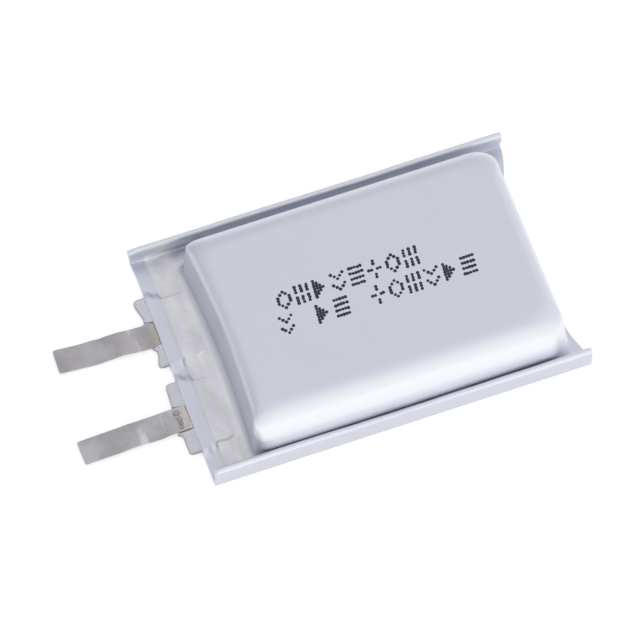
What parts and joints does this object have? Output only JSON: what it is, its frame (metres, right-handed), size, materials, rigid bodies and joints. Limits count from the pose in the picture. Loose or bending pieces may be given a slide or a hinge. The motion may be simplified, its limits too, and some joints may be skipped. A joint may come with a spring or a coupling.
{
  "type": "pouch battery cell",
  "caption": "Flat rectangular pouch cell with a drawn cup, a sealed terrace with metal tabs in film, and folded side wings.",
  "frame": {"origin": "centre of the sealed footprint, between the terrace edge and the wing ends, on the flat back of the pouch", "axes": "+X along the cell from the tabs to the folded tail, +Y across it, +Z out of the flat back through the cup"},
  "size_m": [0.0387, 0.02, 0.006],
  "materials": {
    "laminate": "satin silver laminate under clear nylon",
    "sealant_film": "translucent whitish polypropylene",
    "nickel": "rolled nickel, lightly smudged",
    "lead_aluminium": "rolled foil",
    "cathode_coat": "matt black oxide coating on aluminium foil",
    "anode_coat": "dark graphite coating on copper foil",
    "separator": "white porous film",
    "tape": "amber polyimide tape",
    "marking_ink": "dot-matrix ink marks on the front of the pouch"
  },
  "bodies": {
    "cell": {"pouch_back": "laminate", "pouch_front": "laminate", "separator_inner": "separator", "anode": "anode_coat", "separator_outer": "separator", "cathode": "cathode_coat", "closing_tape": "tape", "tail_tape": "tape", "positive_lead": "lead_aluminium", "positive_tab_root": "nickel", "positive_lead_tape": "tape", "negative_lead": "nickel", "negative_lead_tape": "tape", "positive_film_lower": "sealant_film", "positive_film_upper": "sealant_film", "negative_film_lower": "sealant_film", "negative_film_upper": "sealant_film"},
    "positive_tab": {"positive_tab": "nickel"},
    "negative_tab": {"negative_tab": "nickel"}
  },
  "joints": [
    {"name": "positive_tab_bend", "type": "hinge", "parent": "cell", "child": "positive_tab", "pos_m": [-0.0169, -0.00398, 0.00036], "axis": [-0.0253, 0.9997, 0], "range_deg": [-90, 90]},
    {"name": "negative_tab_bend", "type": "hinge", "parent": "cell", "child": "negative_tab", "pos_m": [-0.0169, 0.00348, 0.00025], "axis": [0.0366, 0.9993, 0], "range_deg": [-90, 90]}
  ]
}
